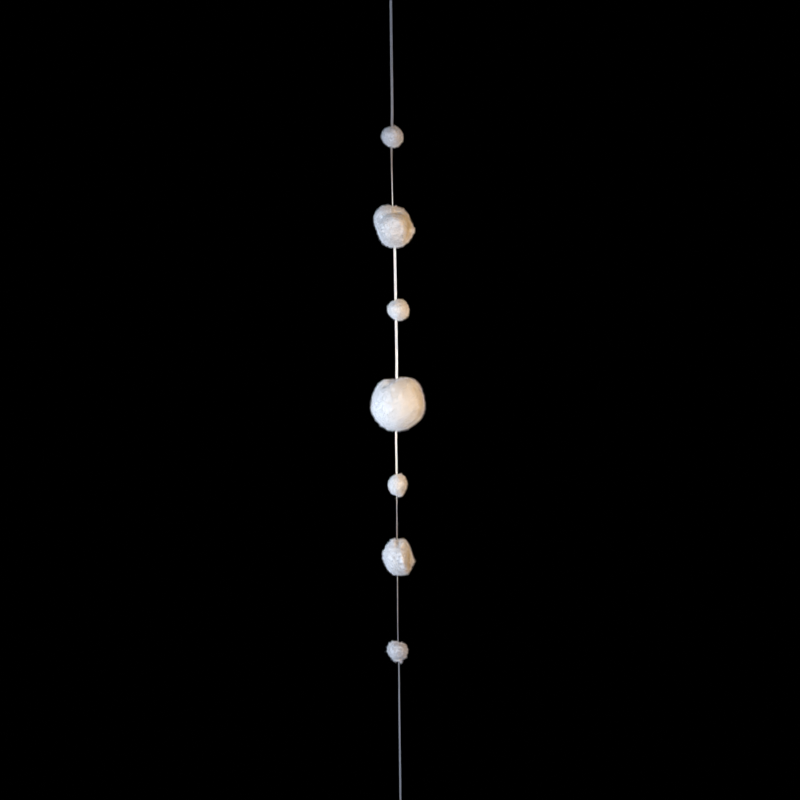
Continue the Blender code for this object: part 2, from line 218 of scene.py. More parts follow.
def addPlait(shape, centres, widthWays, sizes, phases, closed=False):
    # over and under: each strand swings across the cord once while it goes up and down strands - 1 times
    tangents = tangentsOf(centres, closed)
    thickWays = normalized(np.cross(tangents, widthWays))
    widthWays = np.cross(thickWays, tangents)
    swing = (sizes["width"] - sizes["strandWidth"]) / 2 * mm
    lift = (sizes["thickness"] - sizes["strandThickness"]) / 2 * mm
    for k in range(sizes["strands"]):
        own = phases + fullTurn * k / sizes["strands"]
        across = swing * np.sin(own)
        over = lift * np.sin((sizes["strands"] - 1) * own)
        line = centres + widthWays * across[:, None] + thickWays * over[:, None]
        addTube(
            shape, line, thickWays, sizes["strandWidth"] / 2 * mm, sizes["strandThickness"] / 2 * mm,
            sizes["corners"], closed,
        )


def meshOf(name, shape):
    mesh = bpy.data.meshes.new(name)
    mesh.from_pydata(np.concatenate(shape["points"]).tolist(), [], shape["faces"])
    layer = mesh.uv_layers.new(name="yarn")
    layer.data.foreach_set("uv", np.array(shape["uvs"], np.float32).ravel())
    mesh.shade_smooth()
    mesh.update()
    return mesh


# Materials
def newMaterial(name):
    made = bpy.data.materials.new(name)
    made.use_nodes = True
    tree = made.node_tree
    tree.nodes.clear()
    shader = addNode(tree, "ShaderNodeBsdfPrincipled")
    addNode(tree, "ShaderNodeOutputMaterial", links={"Surface": shader.outputs[0]})
    return made, tree, shader


# Mercerised cotton, spun and braided: a pearly lustre where it catches a lamp, and a duller grey elsewhere
# The grooves between its yarn lines are painted darker, which is painted shade; the patches are the cotton's
# own uneven tone.
cottonLook = {
    "light": "9E9E9C",
    "shade": "807F7D",
    "patch": 9.0,              # mm between darker and lighter stretches
    "lines": 2,                # yarn lines round a strand, fewer than real so that they show
    "lay": 3.2,                # mm along a strand from one yarn line to the next
    "wobble": 1.2,             # how far the yarn lines stray
    "toneRange": (0.05, 0.45), # of painted groove shade and the patches together, from shade to light
    "least": 0.35,             # share of the light colour where grooves and patches are darkest
    "bump": 0.03,              # mm
    "bumpStrength": 0.7,
    "roughness": 0.4,
    "lustre": 1.0,             # specular level of the washed and stretched fibres
    "stretch": 0.5,            # how much the lustre spreads round a strand
}

bandScale = fullTurn / 10      # makes a wave texture's diagonal bands one unit apart


def mercerisedCotton():
    look = cottonLook
    made, tree, shader = newMaterial("mercerisedCottonPlait")
    place = addNode(tree, "ShaderNodeTexCoord")
    yarn = addNode(tree, "ShaderNodeUVMap", {"uv_map": "yarn"})
    slant = addNode(
        tree, "ShaderNodeMapping", {"Scale": (look["lines"], 1 / look["lay"], 1.0)},
        {"Vector": yarn.outputs[0]},
    )
    lines = addNode(
        tree, "ShaderNodeTexWave",
        {"wave_type": "BANDS", "bands_direction": "DIAGONAL", "Scale": bandScale,
         "Distortion": look["wobble"], "Detail": 2.0, "Detail Scale": 1.5},
        {"Vector": slant.outputs[0]},
    )
    patches = addNode(
        tree, "ShaderNodeTexNoise", {"Scale": 1 / (look["patch"] * mm), "Detail": 3.0},
        {"Vector": place.outputs["Object"]},
    )
    # painted shade: where the yarn lines' bump is low, in their grooves, the colour goes darker, multiplied
    # with the cotton's own patches
    grooveShadeTone = addNode(
        tree, "ShaderNodeMath", {"operation": "MULTIPLY"}, {0: lines.outputs[1], 1: patches.outputs[0]},
    )
    spread = addNode(
        tree, "ShaderNodeMapRange",
        {"From Min": look["toneRange"][0], "From Max": look["toneRange"][1], "To Min": look["least"]},
        {"Value": grooveShadeTone.outputs[0]},
    )
    colour = addNode(
        tree, "ShaderNodeMix",
        {"data_type": "RGBA", 6: (*linear(look["shade"]), 1.0), 7: (*linear(look["light"]), 1.0)},
        {0: spread.outputs[0]},
    )
    bump = addNode(
        tree, "ShaderNodeBump", {"Strength": look["bumpStrength"], "Distance": look["bump"] * mm},
        {"Height": lines.outputs[1]},
    )
    tangent = addNode(tree, "ShaderNodeTangent", {"direction_type": "UV_MAP", "uv_map": "yarn"})
    tree.links.new(colour.outputs[2], shader.inputs["Base Color"])
    tree.links.new(bump.outputs[0], shader.inputs["Normal"])
    tree.links.new(tangent.outputs[0], shader.inputs["Tangent"])
    shader.inputs["Roughness"].default_value = look["roughness"]
    shader.inputs["Specular IOR Level"].default_value = look["lustre"]
    shader.inputs["Anisotropic"].default_value = look["stretch"]
    return made


# Acrylic pile, cut and fluffed, matt and soft: painted shade makes it a little darker between its tufts than
# at its tips
pileLook = {
    "light": "FBFBFA",
    "shade": "F0EFED",
    # painted shade: the root colour, on the fibres' lower parts and on the ground between them
    "root": "E8E6E3",
    "patch": 6.0,              # mm between darker and lighter patches
    "patchRange": (0.3, 0.62), # of the patches' noise, from shade to light
    "fleck": 1.5,              # mm between darker flecks, painted shade for the small shadows that tufts make
    "fleckRange": (0.35, 0.65),
    "rootShadeReach": 0.5,               # share of a fibre, from its root, that painted shade darkens towards the root colour
    "fibre": 0.35,             # mm between fibres on the ground, coarser than real so that they show
    "bump": 0.12,              # mm
    "bumpStrength": 0.6,
    "roughness": 1.0,
    "gloss": 0.1,              # specular level
    "sheenRoughness": 0.6,
}


def cutPile(name, kind):
    look = pileLook
    made, tree, shader = newMaterial(f"cutAcrylicPile_{name}")
    place = addNode(tree, "ShaderNodeTexCoord")
    patches = addNode(
        tree, "ShaderNodeTexNoise", {"Scale": 1 / (look["patch"] * mm), "Detail": 4.0, "Roughness": 0.65},
        {"Vector": place.outputs["Object"]},
    )
    spread = addNode(
        tree, "ShaderNodeMapRange",
        {"From Min": look["patchRange"][0], "From Max": look["patchRange"][1]},
        {"Value": patches.outputs[0]},
    )
    face = addNode(
        tree, "ShaderNodeMix",
        {"data_type": "RGBA", 6: (*linear(look["shade"]), 1.0), 7: (*linear(look["light"]), 1.0)},
    )
    tree.links.new(spread.outputs[0], face.inputs[0])
    # painted shade: each fibre darkens towards its root, and the ground between fibres, with no tip value,
    # takes the root colour
    height = addNode(tree, "ShaderNodeAttribute", {"attribute_name": "tip"})
    rootShadeReach = addNode(
        tree, "ShaderNodeMapRange", {"From Max": look["rootShadeReach"]}, {"Value": height.outputs["Fac"]},
    )
    colour = addNode(tree, "ShaderNodeMix", {"data_type": "RGBA", 6: (*linear(look["root"]), 1.0)})
    tree.links.new(rootShadeReach.outputs[0], colour.inputs[0])
    tree.links.new(face.outputs[2], colour.inputs[7])
    # painted shade: random darker flecks that stand in for the tufts' small shadows
    flecks = addNode(
        tree, "ShaderNodeTexNoise", {"Scale": 1 / (look["fleck"] * mm), "Detail": 2.0, "Roughness": 0.6},
        {"Vector": place.outputs["Object"]},
    )
    fleckShadeFactor = addNode(
        tree, "ShaderNodeMapRange",
        {"From Min": look["fleckRange"][0], "From Max": look["fleckRange"][1],
         "To Min": 1.0 - kind["fleckShade"]},
        {"Value": flecks.outputs[0]},
    )
    paintedShadeColour = addNode(
        tree, "ShaderNodeMix", {"data_type": "RGBA", "blend_type": "MULTIPLY", 0: 1.0},
        {6: colour.outputs[2], 7: fleckShadeFactor.outputs[0]},
    )
    stubble = addNode(
        tree, "ShaderNodeTexNoise", {"Scale": 1 / (look["fibre"] * mm), "Detail": 2.0},
        {"Vector": place.outputs["Object"]},
    )
    bump = addNode(
        tree, "ShaderNodeBump", {"Strength": look["bumpStrength"], "Distance": look["bump"] * mm},
        {"Height": stubble.outputs[0]},
    )
    tree.links.new(paintedShadeColour.outputs[2], shader.inputs["Base Color"])
    tree.links.new(bump.outputs[0], shader.inputs["Normal"])
    shader.inputs["Roughness"].default_value = look["roughness"]
    shader.inputs["Specular IOR Level"].default_value = look["gloss"]
    shader.inputs["Sheen Weight"].default_value = kind["sheen"]
    shader.inputs["Sheen Roughness"].default_value = look["sheenRoughness"]
    shader.inputs["Subsurface Weight"].default_value = kind["scatter"]
    shader.inputs["Subsurface Radius"].default_value = (1.0, 1.0, 1.0)     # every colour alike
    shader.inputs["Subsurface Scale"].default_value = kind["scatterReach"] * mm
    return made


cotton = mercerisedCotton()
print("cotton made")


# The string between the two knots
string = {
    "top": 33.4,               # mm down from the origin
    "bottom": 786.0,
    "pathStep": 4.0,           # mm between the points that say where it runs
}
fluff = {                      # lone fibres that stand off the cord
    "fibres": [                # depth in mm, bearing in degrees round from +X, reach in mm, and curl
        (117, 20, 1.4, 0.5), (196, 200, 1.2, -0.4), (262, 330, 1.3, 0.4), (345, 170, 1.1, 0.3),
        (455, 10, 1.2, -0.5), (499.5, 185, 3.1, 0.6), (519.9, 350, 2.7, -0.8), (522.0, 20, 2.3, 0.7),
        (600, 150, 1.4, 0.4), (668, 40, 1.5, -0.4), (720, 210, 1.2, 0.5),
    ],
    "thickness": 0.11,         # mm, coarser than real so that it shows
    "tip": 0.4,                # times as thick at its tip as at its root
    "points": 8,
    "corners": 4,
    "rise": 0.6,               # share of reach and curl by which its middle rises
    "drift": 0.3,              # share of reach and curl by which its tip turns aside
}


def cordLine(top, bottom, step):
    # points of the cord at depths in metres, and the ways of its flat face
    depths = np.linspace(top, bottom, max(2, round((bottom - top) / step) + 1))
    across, turn = routeAt(depths)
    centres = np.column_stack([across, np.zeros_like(across), -depths])
    widthWays = np.column_stack([np.cos(turn), np.sin(turn), np.zeros_like(turn)])
    return centres, widthWays


def plaitPhase(centres):
    return -centres[:, 2] / (plait["pitch"] * mm) * fullTurn


def addFluff(shape, row):
    depth, bearing, reach, curl = row
    root = Vector((routeAt(depth * mm)[0][0], 0.0, -depth * mm))
    out = Vector((math.cos(math.radians(bearing)), math.sin(math.radians(bearing)), 0.0))
    beside = Vector((-out.y, out.x, 0.0))
    up = Vector((0.0, 0.0, 1.0))
    points = []
    for t in np.linspace(0.0, 1.0, fluff["points"]):
        rise = curl * reach * math.sin(t * math.pi) * fluff["rise"]
        drift = curl * reach * t * t * fluff["drift"]
        points.append(root + (out * reach * t + beside * drift + up * rise) * mm)
    radii = fluff["thickness"] / 2 * mm * np.linspace(1.0, fluff["tip"], len(points))
    ups = np.tile(up + beside * 0.3, (len(points), 1))     # leaned, so that they never run along the fibre
    addTube(shape, np.array(points), ups, radii, radii, fluff["corners"])


def makeString():
    shape = newShape()
    centres, widthWays = cordLine(
        string["top"] * mm, string["bottom"] * mm, plait["pitch"] / plait["ringsPerPitch"] * mm
    )
    addPlait(shape, centres, widthWays, plait, plaitPhase(centres))
    for row in fluff["fibres"]:
        addFluff(shape, row)
    return addObject("plaited_string", meshOf("plaited_string", shape), cotton)


# Knots, the hanging loop's eye and the loose ends, on the same sizes as the part's source
eye = {
    "height": 28.1,            # mm, from the knot's middle to the top of the cord's middle
    "width": 14.0,
    "pointed": 1.6,            # how early the legs come together
    "legGap": 1.5,             # mm between the middles of the legs at the knot
    "gapFrom": 0.35,           # of the way from top to knot, as a cosine, where the legs reach that gap
    "rings": 190,
}
knot = {
    "depths": {"hanging_loop": 27.6, "end_knot": 790.2},
    "turns": [                 # height and radius in mm, lean and bearing in degrees
        (1.4, 2.0, 16, 25), (-1.4, 2.0, 20, 205), (0.1, 2.0, 48, 105), (0.0, 1.75, 12, 285),
    ],
    "core": (2.1, 2.9),        # mm, radius and half height of what the turns close on
    "coreRings": 9,
    "coreCorners": 12,
    "coreEnd": 0.15,           # radians short of its poles
    "plait": {**plait, "width": 1.9, "thickness": 1.5, "strandWidth": 0.74, "strandThickness": 0.62},
    "pitches": 2,              # round one turn of a knot
    "seam": 0.02,              # mm from the string's end to the stub that carries it on
}
tails = {
    "hanging_loop": {
        "length": 9.0,         # mm
        "leaves": (0.7, -0.3, -0.3),       # the handle of its curve, in lengths from the knot's middle
        "ends": (0.55, -0.25, -1.0),
        "widthWay": (0.0, 1.0, 0.0),
    },
    "end_knot": {
        "length": 14.0,
        "leaves": (0.14, -0.04, -0.5),
        "ends": (0.05, -0.1, -1.0),
        "widthWay": (1.0, 0.5, 0.0),
    },
}
fray = {
    "count": 34,
    "length": 2.6,             # mm
    "shortest": 0.7,           # share of that length, before chance
    "chance": 0.5,
    "thickness": 0.13,         # mm, coarser than real so that it shows
    "tip": 0.5,                # times as thick at its tip as at its root
    "points": 5,
    "corners": 4,
    "rooted": 0.6,             # mm inside the cord's end
    "across": (1.0, 0.3),      # mm, half of the width and thickness that the roots fill
    "sway": 2.4,               # radians from one fibre to the next
    "fan": (0.35, 0.25),       # how far they open out that way
    "spread": 0.75,            # how far each one strays
}


def addCore(shape, middle):
    radius, halfHeight = knot["core"]
    rings = knot["coreRings"]
    furthest = math.pi / 2 - knot["coreEnd"]
    angles = np.linspace(-furthest, furthest, rings)
    heights = np.sin(angles) * halfHeight * mm
    centres = middle + np.column_stack([np.zeros(rings), np.zeros(rings), heights])
    radii = np.cos(angles) * radius * mm
    addTube(shape, centres, np.tile((0.0, 1.0, 0.0), (rings, 1)), radii, radii, knot["coreCorners"])


def addKnot(shape, middle):
    addCore(shape, middle)
    sizes = knot["plait"]
    rings = knot["pitches"] * sizes["ringsPerPitch"]
    angles = fullTurn * np.arange(rings) / rings
    flat = np.column_stack([np.cos(angles), np.sin(angles), np.zeros(rings)])
    for height, radius, lean, bearing in knot["turns"]:
        way = math.radians(bearing)
        axis = Vector((-math.sin(way), math.cos(way), 0.0))
        leaned = np.array(Matrix.Rotation(math.radians(lean), 3, axis))
        centres = middle + (0.0, 0.0, height * mm) + flat @ leaned.T * radius * mm
        ups = np.tile(leaned @ (0.0, 0.0, 1.0), (rings, 1))
        addPlait(shape, centres, ups, sizes, angles * knot["pitches"], closed=True)


def addTail(shape, name, middle):
    tail = tails[name]
    length = tail["length"]
    handle, end = [middle + np.array(tail[key]) * length * mm for key in ("leaves", "ends")]
    rings = round(length / plait["pitch"] * plait["ringsPerPitch"]) + 1
    t = np.linspace(0.0, 1.0, rings)[:, None]
    centres = middle * (1 - t) ** 2 + handle * 2 * t * (1 - t) + end * t**2
    ways = np.tile(tail["widthWay"], (rings, 1))
    addPlait(shape, centres, ways, plait, distancesAlong(centres) / (plait["pitch"] * mm) * fullTurn)
    addFray(shape, centres, Vector(tail["widthWay"]).normalized(), length)


def addFray(shape, centres, side, seed):
    # loose ends of the strands: each stands at its own place in the cord's end and strays its own way
    end = Vector(centres[-1])
    tangent = Vector(centres[-1] - centres[-2]).normalized()
    thick = tangent.cross(side).normalized()
    halfWide, halfThick = fray["across"]
    fanWide, fanThick = fray["fan"]
    for k in range(fray["count"]):
        a = (k + 0.5) / fray["count"] * 2 - 1              # from one edge of the cord to the other
        b = math.sin(k * fray["sway"])                     # to and fro through its thickness
        root = end - tangent * fray["rooted"] * mm + side * a * halfWide * mm + thick * b * halfThick * mm
        # places in the noise, far enough apart for neighbours to differ
        strayWide, strayThick = [
            noise.noise(Vector((k * 1.7, seed, apart))) * fray["spread"] for apart in (0.3, 7.3)
        ]
        chance = noise.noise(Vector((k * 2.3, 0.5, seed)))
        reach = fray["length"] * mm * (fray["shortest"] + fray["chance"] * chance)
        out = tangent + side * (a * fanWide + strayWide) + thick * (b * fanThick + strayThick)
        out.normalize()
        shares = np.linspace(0.0, 1.0, fray["points"])
        points = [root + (tangent * (1 - share) + out * share) * reach * share for share in shares]
        radii = fray["thickness"] / 2 * mm * np.linspace(1.0, fray["tip"], fray["points"])
        addTube(shape, np.array(points), np.tile(thick, (len(points), 1)), radii, radii, fray["corners"])


def addEye(shape):
    # two legs that leave the knot side by side, open out, and meet in a round top
    rings = eye["rings"]
    power = eye["pointed"] + 1.0
    widest = math.atan(math.sqrt(power))
    scale = eye["width"] / 2 / (math.cos(widest) * math.sin(widest) ** power)
    half = math.pi * np.linspace(0.0, 1.0, rings)
    cosines = np.cos(half)                     # 1 and -1 at the knot, 0 at the top
    across = scale * cosines * np.sin(half) ** power
    least = eye["legGap"] / 2 * np.sign(cosines) * smoothStep(0.0, eye["gapFrom"], np.abs(cosines))
    across = np.where(np.abs(across) < np.abs(least), least, across)
    heights = plait["thickness"] / 2 - eye["height"] * cosines**2
    centres = np.column_stack([across, np.zeros(rings), heights]) * mm
    ways = np.tile((0.0, 1.0, 0.0), (rings, 1))
    addPlait(shape, centres, ways, plait, distancesAlong(centres) / (plait["pitch"] * mm) * fullTurn)


def makeEndPiece(name, objectName):
    middle = np.array((0.0, 0.0, -knot["depths"][name] * mm))
    shape = newShape()
    addKnot(shape, middle)
    step = plait["pitch"] / plait["ringsPerPitch"] * mm
    if name == "hanging_loop":
        stub = cordLine(-middle[2], string["top"] * mm - knot["seam"] * mm, step)
        addEye(shape)
    else:
        stub = cordLine(string["bottom"] * mm + knot["seam"] * mm, -middle[2], step)
    addPlait(shape, *stub, plait, plaitPhase(stub[0]))
    addTail(shape, name, middle)
    return addObject(objectName, meshOf(objectName, shape), cotton)


cordPiece = makeString()
loopPiece = makeEndPiece("hanging_loop", "plaited_loop")
endPiece = makeEndPiece("end_knot", "plaited_end_knot")
finishPiece(cordPiece, "string")
finishPiece(loopPiece, "hanging_loop")
finishPiece(endPiece, "end_knot")
print("cord, loop and knot made:", len(cordPiece.data.polygons), "faces in the string")


# Pompoms: a ground a little inside the pile's ends, and fibres that stand on it in tufts
pompoms = {
    "large": {
        "balls": {"snowball_4": (2.1, 410.9)},   # mm, its middle's sideways place and depth
        "depth": 1.5,          # mm from the pile's ends to the ground that it stands on
        "spacing": 0.335,      # mm between fibres, which are fewer and thicker than real so that they show
        "length": 2.0,         # mm
        "girth": 0.7,          # times as thick as the fibres' own shape
        "tuft": 2.0,           # mm between tufts
        "crown": 0.4,          # share by which a tuft is longer at its middle than at its edge
        "gather": 0.15,        # how far a tuft's tips draw together
        "lean": 0.4,           # how far neighbouring tufts lean their own ways
        "uneven": 0.6,         # share by which one tuft is longer than another
        "stray": 0.5,          # share by which a few fibres are longer than the rest
        "loose": 0.4,          # how far single fibres lean their own ways
        "relief": 0.4,         # mm of unevenness in the ground
        "fleckShade": 0.05,       # share by which the painted shade of the flecks darkens the pile
        "scatter": 0.9,        # share of light that spreads inside the pile
        "scatterReach": 3.0,   # mm
        "sheen": 1.0,
        "finer": 1,            # times that its faces are divided before it is shaped
    },
    "medium": {
        "balls": {"snowball_2": (-0.1, 247.5), "snowball_6": (0.9, 552.3)},
        "depth": 1.6,
        "spacing": 0.3,
        "length": 2.1,
        "girth": 0.8,
        "tuft": 1.8,
        "crown": 0.6,
        "gather": 0.3,
        "lean": 0.5,
        "uneven": 0.6,
        "stray": 0.3,
        "loose": 0.35,
        "relief": 0.5,
        "fleckShade": 0.2,
        "scatter": 0.25,
        "scatterReach": 1.6,
        "sheen": 0.2,
        "finer": 2,
    },
    "small": {
        "balls": {
            "snowball_1": (0.0, 165.4), "snowball_3": (3.5, 324.6),
            "snowball_5": (0.9, 485.6), "snowball_7": (-1.2, 638.8),
        },
        "depth": 1.25,
        "spacing": 0.28,
        "length": 1.8,
        "girth": 1.0,
        "tuft": 1.9,
        "crown": 0.7,
        "gather": 0.4,
        "lean": 0.5,
        "uneven": 0.6,
        "stray": 0.25,
        "loose": 0.3,
        "relief": 0.5,
        "fleckShade": 0.26,
        "scatter": 0.1,
        "scatterReach": 1.6,
        "sheen": 0.2,
        "finer": 2,
    },
}
ground = {
    "merge": 0.01,             # mm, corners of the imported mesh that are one
    "slotReach": 1.75,         # mm from the cord's axis, within which a corner belongs to the slot
    "bare": (1.8, 2.6),        # mm from the cord's axis, from bare to full pile
    "smoothings": 2,
    "smoothing": 0.5,          # share of the way to its neighbours that a corner moves
    "reliefPatch": 4.0,        # mm
}
fibreKinds = [                 # bend and root radius as shares of its length, and how high it bends
    (0.05, 0.042, 0.0), (0.4, 0.032, 0.55), (0.3, 0.042, 0.0), (0.18, 0.044, 0.0),
]
fibreShape = {
    "sides": 3,
    "rooted": -0.08,           # of its length, below the ground
    "kneeGirth": 0.9,          # of its girth at the root
}
growth = {
    "densest": 16.0,           # fibres on a square mm to choose from, before the spacing thins them
    "plainAt": 0.35,           # tuft sizes from a tuft's middle, where a fibre has its plain length
    "plainTuft": 0.95,         # length of a tuft's random colour at which the tuft has its plain length
    "shortest": 0.75,          # share of a fibre's length, before chance
    "chance": 0.35,
    "rare": 10.0,              # power that makes long strays few
    "spinSeed": 5,
    "chanceSeed": 11,
}

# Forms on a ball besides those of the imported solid, in mm and degrees. A direction is a clock angle (0 up,
# 90 to the right from the front) and a front angle (0 in the plane of the view, 90 at the viewer). A fold
# runs along the arc between two directions, and a negative height is a crease or a hollow.
formColumns = ("clock", "front", "toClock", "toFront", "spread", "height")
forms = {
    "snowball_1": [
        (16, 0, 16, 10, 12, 1.1),              # the shoulder right of the cord
        (202, 0, 202, 4, 14, -0.7),            # flatter at the lower left
    ],
    "snowball_2": [
        (288, 16, 302, 42, 9, -0.6),           # the groove under the cap's left end
        (300, 46, 322, 52, 8, 0.7),            # the cap's lower edge
        (300, 30, 22, 32, 19, -3.0),           # the cap turns away from the front
        (338, 58, 352, 62, 14, 0.3),           # the ridge where the right face begins
        (352, 62, 20, 70, 13, 0.5),
        (20, 70, 84, 71, 12, 0.7),
        (84, 71, 116, 56, 12, 0.7),
        (116, 56, 144, 32, 12, 0.8),
        (26, 28, 78, 28, 20, -2.0),            # the right face, nearly flat
        (78, 28, 118, 26, 17, -1.7),
        (104, 6, 104, -8, 12, 0.2),            # the bump at the right, and the notch over it
        (75, 0, 75, -8, 9, -0.9),
        (268, 0, 272, 0, 9, -0.8),             # the notch at the left
        (344, 0, 330, 0, 14, 0.5),             # the cap's top
    ],
    "snowball_4": [
        (325, 27, 345, 22, 7, -4.4),           # the valley beside the cord
        (0, 14, 24, 16, 7, -0.4),
        (330, 0, 330, 4, 9, 0.9),              # the shoulder left of the valley
        (347, 0, 347, 4, 8, -0.7),
        (150, 12, 208, 14, 9, -0.3),           # flatter at the bottom
    ],
    "snowball_5": [
        (166, 0, 164, 10, 12, 0.9),            # the corner at the bottom
        (60, 0, 60, 10, 18, -0.4),             # flatter at the upper right
        (143, 0, 143, 6, 10, -0.8),
    ],
    "snowball_6": [
        (359, 18, 359, 38, 6, -1.9),           # between the two horns
        (18, 2, 20, 26, 8, 1.2),               # the right horn
        (344, 2, 343, 20, 7, 1.3),             # the left horn
        (8, 46, 20, 66, 9, 0.6),               # the ridge down the front
        (20, 66, 90, 79, 9, 1.0),
        (90, 79, 132, 71, 9, 1.2),
        (132, 71, 148, 50, 9, 1.3),
        (148, 50, 152, 10, 9, 1.2),
        (52, 30, 92, 35, 20, -2.5),            # the flat right face
        (92, 35, 127, 30, 20, -2.2),
        (286, 0, 292, 20, 12, 0.7),            # the corner at the left, and flatter below it
        (272, 0, 250, 0, 12, -0.6),
        (22, 0, 50, 0, 12, -0.5),              # flatter at the upper right
    ],
    "snowball_7": [
        (202, 30, 178, 30, 9, -1.6),           # the crease and the dark hollow over the spur
        (176, 24, 155, 14, 12, -4.4),
        (163, 0, 166, -12, 6, 5.4),            # the spur
        (148, -4, 146, 12, 6, -3.0),           # the notch at the right of the spur
        (128, 0, 126, 10, 12, 1.0),
        (218, 0, 250, 10, 16, -0.8),           # flatter at the lower left
        (340, 0, 340, 10, 14, 0.7),            # the shoulder left of the cord
        (8, 14, 26, 24, 7, -0.6),
        (322, 40, 268, 36, 5, -0.5),           # soft ribs round the left of the front
        (268, 36, 222, 38, 5, -0.5),
        (338, 62, 240, 64, 6, -0.5),
        (40, 62, 128, 58, 6, -0.4),
    ],
}


def wayTo(clock, front):
    clock, front = np.radians(clock), np.radians(front)
    return np.array((np.sin(clock) * np.cos(front), -np.sin(front), np.cos(clock) * np.cos(front)))


def offArc(ways, start, end):
    # degrees between directions and the nearest place on the arc between two others
    reach = np.arccos(np.clip(start @ end, -1, 1))
    ends = np.degrees(np.arccos(np.clip(np.maximum(ways @ start, ways @ end), -1, 1)))
    if reach < 0.01:                           # radians: the two are one place
        return ends
    axis = np.cross(start, end) / np.sin(reach)
    along = np.arctan2(ways @ np.cross(axis, start), ways @ start)
    beside = np.degrees(np.abs(np.arcsin(np.clip(ways @ axis, -1, 1))))
    return np.where((along >= 0) & (along <= reach), beside, ends)


def sculpt(points, middle, rows, share):
    arms = points - middle
    lengths = np.linalg.norm(arms, axis=1)
    ways = arms / lengths[:, None]
    grown = np.zeros(len(points))
    for row in rows:
        form = dict(zip(formColumns, row))
        start, end = wayTo(form["clock"], form["front"]), wayTo(form["toClock"], form["toFront"])
        grown += form["height"] * np.exp(-((offArc(ways, start, end) / form["spread"]) ** 2))
    return points + ways * (grown * share * mm)[:, None]


def makeFibres():
    # fibres one unit long, which taper to a point; one kind is bent, the others are straight
    kept = bpy.data.collections.new("fibres")
    sides = fibreShape["sides"]
    for number, (bend, radius, knee) in enumerate(fibreKinds):
        rings = [(fibreShape["rooted"], 1.0)] + ([(knee, fibreShape["kneeGirth"])] if knee else [])
        points, tips = [], []
        for height, share in rings:
            shift = bend * max(height, 0.0) ** 2
            for corner in range(sides):
                angle = fullTurn * corner / sides
                reach = radius * share
                points.append((shift + reach * math.cos(angle), reach * math.sin(angle), height))
                tips.append(max(height, 0.0))
        points.append((bend, 0.0, 1.0))
        tips.append(1.0)
        faces = [tuple(reversed(range(sides)))]
        for ring in range(len(rings)):
            for j in range(sides):
                near, far = sides * ring + j, sides * ring + (j + 1) % sides
                if ring == len(rings) - 1:
                    faces.append((near, far, len(points) - 1))
                else:
                    faces.extend([(near, far, far + sides), (near, far + sides, near + sides)])
        mesh = bpy.data.meshes.new(f"fibre_{number}")
        mesh.from_pydata(points, [], faces)
        mesh.shade_smooth()
        tip = mesh.attributes.new("tip", "FLOAT", "POINT")
        tip.data.foreach_set("value", tips)
        kept.objects.link(bpy.data.objects.new(f"fibre_{number}", mesh))
    return kept


lengthInputs = ("Relief", "Spacing", "Length", "Tuft")
shareInputs = ("Girth", "Crown", "Gather", "Lean", "Uneven", "Stray", "Loose")
pileInputs = {
    **dict.fromkeys((*lengthInputs, "Relief Patch", *shareInputs), "NodeSocketFloat"),
    "Seed": "NodeSocketInt", "Fibres": "NodeSocketCollection", "Pile": "NodeSocketMaterial",
}


